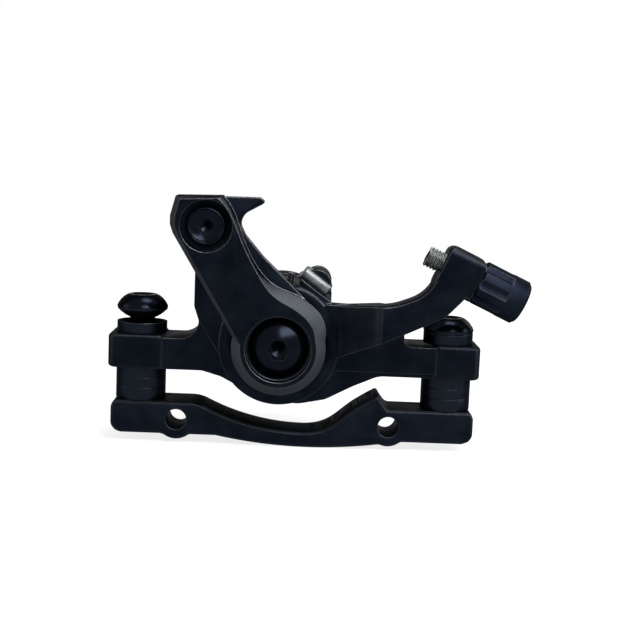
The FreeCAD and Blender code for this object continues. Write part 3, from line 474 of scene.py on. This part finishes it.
# A single corner, to draw an outline from
def firstCorner(name, place):
    deselect()
    size = 2 * mm
    bpy.ops.mesh.primitive_plane_add(size=size, location=Vector(place) + Vector((size / 2, size / 2, 0)))
    piece = bpy.context.active_object
    piece.name = name
    bpy.ops.object.transform_apply(location=True, rotation=True, scale=True)
    bpy.ops.object.mode_set(mode="EDIT")
    bpy.ops.mesh.select_mode(type="VERT")
    bpy.ops.mesh.select_all(action="DESELECT")
    bpy.ops.object.mode_set(mode="OBJECT")
    for corner in piece.data.vertices:
        corner.select = (corner.co - Vector(place)).length > size / 4
    bpy.ops.object.mode_set(mode="EDIT")
    bpy.ops.mesh.delete(type="VERT")
    bpy.ops.mesh.select_all(action="SELECT")
    return piece


# An outline, extruded step by step through its points
def drawn(name, points):
    piece = firstCorner(name, points[0])
    for start, end in zip(points, points[1:]):
        step = Vector(end) - Vector(start)
        bpy.ops.mesh.extrude_region_move(TRANSFORM_OT_translate={"value": step})
    bpy.ops.object.mode_set(mode="OBJECT")
    return piece


# The outline turned round the z axis, and up it too where there is a pitch
def spun(piece, pitch=0.0, turns=1, steps=72):
    activate(piece)
    screw = piece.modifiers.new("turned", "SCREW")
    screw.axis = "Z"
    screw.angle = 2 * math.pi
    screw.screw_offset = pitch
    screw.iterations = turns
    screw.steps = steps
    screw.render_steps = steps
    screw.use_merge_vertices = True
    screw.merge_threshold = 0.001 * mm
    bpy.ops.object.modifier_apply(modifier="turned")


def closed(piece):
    activate(piece)
    bpy.ops.object.mode_set(mode="EDIT")
    bpy.ops.mesh.select_all(action="SELECT")
    bpy.ops.mesh.remove_doubles(threshold=mergeDistance)
    bpy.ops.mesh.normals_make_consistent(inside=False)
    bpy.ops.object.mode_set(mode="OBJECT")


threadFlat = 0.14  # of the pitch, on the crest and in the root
threadSteps = 40


# A rod of a real thread from z = 0 up: one tooth is drawn and turned up the axis, then both ends are cut flat
def threadedRod(name, thread, length):
    radius, pitch = thread["radius"], thread["pitch"]
    root = radius - thread["depth"]
    flat = pitch * threadFlat
    slope = pitch / 2 - flat
    rod = drawn(name, [(root, 0, -pitch), (root, 0, flat - pitch), (radius, 0, flat + slope - pitch),
                       (radius, 0, 2 * flat + slope - pitch), (root, 0, 0)])
    spun(rod, pitch, math.ceil(length / pitch) + 2, threadSteps)
    activate(rod)
    bpy.ops.object.mode_set(mode="EDIT")
    for height, upper in ((0, False), (length, True)):
        bpy.ops.mesh.select_all(action="SELECT")
        bpy.ops.mesh.bisect(plane_co=(0, 0, height), plane_no=(0, 0, 1), use_fill=True,
                            clear_inner=not upper, clear_outer=upper)
    bpy.ops.object.mode_set(mode="OBJECT")
    closed(rod)
    return rod


# Moves a piece that was made round the z axis to its place
def settle(piece, place, axis):
    turn = Vector(axis).normalized().to_track_quat("Z", "Y").to_matrix().to_4x4()
    piece.matrix_world = Matrix.Translation(place) @ turn
    activate(piece)
    bpy.ops.object.transform_apply(location=True, rotation=True, scale=True)


pivotBolt = {
    "head": 6.9 * mm,
    "height": 3.2 * mm,
    "wall": 0.5 * mm,
    "shank": 3.0 * mm,
    "socket": 4.6 * mm,
    "deep": 2.3 * mm,
    "edge": 0.4 * mm,
    "bands": 14,
}
pinchBolt = {
    "head": 4.3 * mm,
    "height": 3.4 * mm,
    "wall": 2.9 * mm,
    "shank": 2.5 * mm,
    "shoulderIn": 0.2 * mm,
    "shoulderDown": 0.1 * mm,
    "rim": 3.9 * mm,
    "dish": 1.0 * mm,
    "dishFloor": 2.0 * mm,
    "socket": 3.6 * mm,
    "deep": 2.2 * mm,
    "edge": 0.22 * mm,
    "bands": 8,
}
boltTools = {
    "chamfer": 0.4 * mm,
    "keyAbove": 2 * mm,
    "edgeAngle": 28,
    "drillSlope": 31,
    "drillSides": 40,
    "overlap": 0.01,
}


def hexKey(across, bottom, top):
    deselect()
    bpy.ops.mesh.primitive_cylinder_add(vertices=6, radius=across / math.sqrt(3), depth=top - bottom,
                                        location=(0, 0, (top + bottom) / 2), rotation=(0, 0, math.pi / 6))
    return bpy.context.active_object


# The cone that the drill leaves at the bottom of a socket
def drillPoint(radius, top):
    deselect()
    deep = radius * math.tan(math.radians(boltTools["drillSlope"]))
    larger = 1 + boltTools["overlap"]
    bpy.ops.mesh.primitive_cone_add(vertices=boltTools["drillSides"], radius1=0, radius2=radius * larger,
                                    depth=deep * larger,
                                    location=(0, 0, top - deep * (1 - boltTools["overlap"]) / 2))
    return bpy.context.active_object


# A bolt turned from one outline, with a hexagon socket: crown lists what lies above the head's wall
def turnedBolt(node, size, crown):
    low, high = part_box(node)
    middle = (low + high) / 2
    seat = low.y + size["height"]
    length = high.y - seat
    shank, chamfer = size["shank"], boltTools["chamfer"]
    socketFloor = size["height"] - size["deep"]
    bolt = drawn(node + "_dressed", [
        (0, 0, -length), (shank - chamfer, 0, -length), (shank, 0, chamfer - length), (shank, 0, 0),
        (size["head"], 0, 0), (size["head"], 0, size["wall"])] + crown)
    spun(bolt)
    closed(bolt)
    carve(bolt, hexKey(size["socket"], socketFloor, size["height"] + boltTools["keyAbove"]))
    rounded(bolt, size["edge"], boltTools["edgeAngle"])
    carve(bolt, drillPoint(size["socket"] / 2 - size["edge"], socketFloor))
    bpy.ops.object.shade_smooth_by_angle(angle=smoothAngle)
    settle(bolt, (middle.x, seat, middle.z), (0, -1, 0))
    riding(bolt, node)


def domeCrown(size):
    rise = size["height"] - size["wall"]
    shares = [1 - i / size["bands"] for i in range(1, size["bands"] + 1)]
    return [(size["head"] * share, 0, size["wall"] + rise * (1 - share ** 2)) for share in shares]


def dishCrown(size):
    crown = [(size["head"] - size["shoulderIn"], 0, size["height"] - size["shoulderDown"]),
             (size["rim"], 0, size["height"])]
    for i in range(1, size["bands"] + 1):
        angle = math.radians(90 * i / size["bands"])
        crown.append((size["rim"] - (size["rim"] - size["dishFloor"]) * math.sin(angle) ** 2, 0,
                      size["height"] - size["dish"] * math.sin(angle)))
    return crown + [(0, 0, size["height"] - size["dish"])]


bossCorner = {
    "size": 1.9 * mm,
    "upFromAxis": 5.1 * mm,
    "stub": 3.9 * mm,
    "length": 9.0 * mm,
    "frontY": -24 * mm,
    "depth": 26 * mm,
    "outside": 1 * mm,
    "bands": 8,
}


# A wedge that rounds one corner off the cable stop, between two directions that lead into it
def cornerCutter(name, corner, first, second):
    size, outside, bands = bossCorner["size"], bossCorner["outside"], bossCorner["bands"]
    outline = [corner - first * outside - second * outside, corner + first * size - second * outside]
    centre = corner + (first + second) * size
    for i in range(bands + 1):
        angle = math.radians(90 * i / bands)
        outline.append(centre - second * size * math.cos(angle) - first * size * math.sin(angle))
    outline.append(corner + second * size - first * outside)
    outline.append(outline[0])
    wedge = drawn(name, outline)
    activate(wedge)
    bpy.ops.object.mode_set(mode="EDIT")
    bpy.ops.mesh.select_all(action="SELECT")
    bpy.ops.mesh.remove_doubles(threshold=mergeDistance)
    bpy.ops.mesh.edge_face_add()
    bpy.ops.mesh.extrude_region_move(TRANSFORM_OT_translate={"value": (0, bossCorner["depth"], 0)})
    bpy.ops.object.mode_set(mode="OBJECT")
    closed(wedge)
    return wedge


barrel = next(joint for joint in frame["joints"] if joint["name"] == "barrel_turn")
alongBarrel = Vector(barrel["axis"]).normalized()
aboveBarrel = Vector((-alongBarrel.z, 0, alongBarrel.x))
barrelPoint = Vector(barrel["pos_m"])
screwPoints = nodes["barrel_adjuster_screw"].data.vertices
reach = [(point.co - barrelPoint).dot(alongBarrel) for point in screwPoints]
barrelStart = barrelPoint + alongBarrel * min(reach)
barrelLength = max(reach) - min(reach)
bossLeft = barrelStart + alongBarrel * bossCorner["stub"] + aboveBarrel * bossCorner["upFromAxis"]
bossLeft.y = bossCorner["frontY"]
bossRight = bossLeft + alongBarrel * bossCorner["length"]
bossWedges = [
    cornerCutter("wedgeLeft", bossLeft, alongBarrel, -aboveBarrel),
    cornerCutter("wedgeRight", bossRight, -alongBarrel, -aboveBarrel),
]

edgeWidths = {
    "adapter_bracket": 0.22 * mm,
    "caliper_body": 0.25 * mm,
    "inboard_half": 0.25 * mm,
    "actuating_arm": 0.22 * mm,
    "barrel_adjuster_knob": 0.15 * mm,
    "pad_adjuster_knob": 0.2 * mm,
    "cable_clamp_plate": 0.2 * mm,
    "spring_tension_screw": 0.9 * mm,
    "left_spacer": 0.2 * mm,
    "right_spacer": 0.2 * mm,
}

# Corners as (x, z, width, near) in mm. The bracket's are its two ends, the arch's start, the tooth's foot and
# both humps, and the arm's are the two at its upper left, which one place takes in
bracketCorners = [
    (-41.2, -2.0, 0.9, 0.15), (-39.6, -3.6, 0.9, 0.15), (-40.67, 4.2, 0.9, 0.15),
    (46.0, -2.0, 0.9, 0.15), (44.4, -3.6, 0.9, 0.15), (45.47, 4.2, 0.9, 0.15),
    (-20.3, 4.2, 1.8, 0.15), (25.3, 4.2, 0.8, 0.15),
    (-28.67, -3.6, 0.5, 0.15), (-22.33, -3.6, 0.5, 0.15),
    (23.52, -4.37, 0.5, 0.15), (28.67, -3.6, 0.5, 0.15),
]
armCorners = [(-25.8, 54.0, 1.3, 1.45)]
cutters = {"caliper_body": bossWedges}
softened = {"adapter_bracket": bracketCorners, "actuating_arm": armCorners}

for node, piece in nodes.items():
    paintWith(piece, slotOf[node])
for node, width in edgeWidths.items():
    smoothCopy(node, width, cutters.get(node, ()), softened.get(node, ()))
turnedBolt("pivot_bolt", pivotBolt, domeCrown(pivotBolt))
turnedBolt("cable_pinch_bolt", pinchBolt, dishCrown(pinchBolt))
print("nodes dressed")

mountingThread = {
    "radius": 2.98 * mm,
    "pitch": 1.0 * mm,
    "depth": 0.55 * mm,
    "length": 9.5 * mm,
    "headEdge": 0.15 * mm,
}


# The head and upper shank are the CAD bolt's, and the lower end gets its thread
def mountingBolt(node):
    low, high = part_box(node)
    middle = (low + high) / 2
    smoothCopy(node, mountingThread["headEdge"])
    bpy.ops.object.mode_set(mode="EDIT")
    bpy.ops.mesh.select_all(action="SELECT")
    bpy.ops.mesh.bisect(plane_co=(0, 0, low.z + mountingThread["length"]), plane_no=(0, 0, 1),
                        use_fill=True, clear_inner=True)
    bpy.ops.object.mode_set(mode="OBJECT")
    rod = threadedRod(node + "_thread", mountingThread, mountingThread["length"])
    bpy.ops.object.shade_smooth_by_angle(angle=smoothAngle)
    settle(rod, (middle.x, middle.y, low.z), (0, 0, 1))
    riding(rod, node)


barrelThread = {
    "radius": 2.49 * mm,
    "pitch": 0.8 * mm,
    "depth": 0.3 * mm,
    "bore": 1.2 * mm,
    "boreSides": 40,
    "borePast": 2 * mm,
}


def barrelScrew():
    rod = threadedRod("barrel_adjuster_screw_dressed", barrelThread, barrelLength)
    deselect()
    bpy.ops.mesh.primitive_cylinder_add(vertices=barrelThread["boreSides"], radius=barrelThread["bore"],
                                        depth=barrelLength + 2 * barrelThread["borePast"],
                                        location=(0, 0, barrelLength / 2))
    carve(rod, bpy.context.active_object)
    activate(rod)
    bpy.ops.object.shade_smooth_by_angle(angle=smoothAngle)
    settle(rod, barrelStart, alongBarrel)
    riding(rod, "barrel_adjuster_screw")


for node in ("left_mounting_bolt", "right_mounting_bolt"):
    mountingBolt(node)
barrelScrew()
print("threads cut")

lampAim = (0.005, 0, 0.022)
lamps = {
    "topLamp": {"place": (0.07, -0.03, 0.48), "size": (0.20, 0.20), "power": 1.7},
    "rightLamp": {"place": (0.50, -0.06, 0.18), "size": (0.22, 0.22), "power": 1.5},
    "leftLamp": {"place": (-0.50, -0.06, 0.20), "size": (0.22, 0.22), "power": 0.6},
    "backLamp": {"place": (0.36, 0.38, 0.22), "size": (0.24, 0.24), "power": 1.6},
    "keyLamp": {"place": (0.20, -0.32, 0.34), "size": (0.40, 0.18), "power": 3.6},
}


def areaLamp(name, settings):
    data = bpy.data.lights.new(name, "AREA")
    data.shape = "RECTANGLE"
    data.size, data.size_y = settings["size"]
    data.energy = settings["power"]
    lamp = bpy.data.objects.new(name, data)
    bpy.context.scene.collection.objects.link(lamp)
    lamp.location = settings["place"]
    lamp.rotation_euler = (Vector(lampAim) - Vector(settings["place"])).to_track_quat("-Z", "Y").to_euler()


paper = {
    "size": 12,
    "below": 0.2 * mm,
    "colour": (0.93, 0.93, 0.93, 1),
    "roughness": 0.5,
    "white": (1, 1, 1, 1),
    "whiteFrom": 0.12,
    "whiteTo": 0.9,
    "nearShare": 0.80,
    "grain": 40,
    "grainShare": 0.004,
}


# White paper that keeps the shadow near the part and goes over into the backdrop's white further out
def paperFloor():
    deselect()
    bpy.ops.mesh.primitive_plane_add(size=paper["size"], location=(0, 0, cadBox[0][2] - paper["below"]))
    floor = bpy.context.active_object
    floor.name = "floor"
    paint = Paint("floorPaper")
    seen = paint.node("ShaderNodeLightPath", {}, {}, "Is Camera Ray")
    mirrored = paint.node("ShaderNodeLightPath", {}, {}, "Is Glossy Ray")
    through = paint.node("ShaderNodeLightPath", {}, {}, "Is Transmission Ray")
    grain = paint.noise(paper["grain"], 2)
    far = paint.node("ShaderNodeVectorMath", {"operation": "LENGTH"}, {0: paint.place}, "Value")
    fade = paint.node("ShaderNodeMapRange", {"clamp": True, "interpolation_type": "SMOOTHSTEP"},
                      {"Value": far, "From Min": paper["whiteFrom"], "From Max": paper["whiteTo"],
                       "To Min": paper["nearShare"], "To Max": 1.0})
    plain = paint.node("ShaderNodeBsdfDiffuse", {},
                       {"Color": paper["colour"], "Roughness": paper["roughness"]})
    glow = paint.node("ShaderNodeEmission", {}, {"Color": paper["white"], "Strength": 1.0})
    white = (seen + mirrored + through) * (fade - grain * paper["grainShare"])
    mixed = paint.node("ShaderNodeMixShader", {}, {0: white, 1: plain, 2: glow})
    paint.tree.links.new(mixed.socket, paint.output.inputs["Surface"])
    floor.data.materials.append(paint.material)


skyStrength = 0.45


# Soft light all round, and a plain white backdrop for the camera, for reflections and for what is seen through
def setWorld():
    world = bpy.data.worlds.new("studio")
    world.use_nodes = True
    tree = world.node_tree
    sky = tree.nodes["Background"]
    backdrop = tree.nodes.new("ShaderNodeBackground")
    for background, strength in ((sky, skyStrength), (backdrop, 1.0)):
        background.inputs["Color"].default_value = paper["white"]
        background.inputs["Strength"].default_value = strength
    path = tree.nodes.new("ShaderNodeLightPath")
    white = path.outputs["Is Camera Ray"]
    for ray in ("Is Glossy Ray", "Is Transmission Ray"):
        either = tree.nodes.new("ShaderNodeMath")
        either.operation = "MAXIMUM"
        tree.links.new(white, either.inputs[0])
        tree.links.new(path.outputs[ray], either.inputs[1])
        white = either.outputs[0]
    choose = tree.nodes.new("ShaderNodeMixShader")
    for socket, source in enumerate((white, sky.outputs[0], backdrop.outputs[0])):
        tree.links.new(source, choose.inputs[socket])
    tree.links.new(choose.outputs[0], tree.nodes["World Output"].inputs["Surface"])
    bpy.context.scene.world = world


paperFloor()
for name, settings in lamps.items():
    areaLamp(name, settings)
setWorld()
bpy.context.scene.view_settings.view_transform = "Standard"
print("studio set")
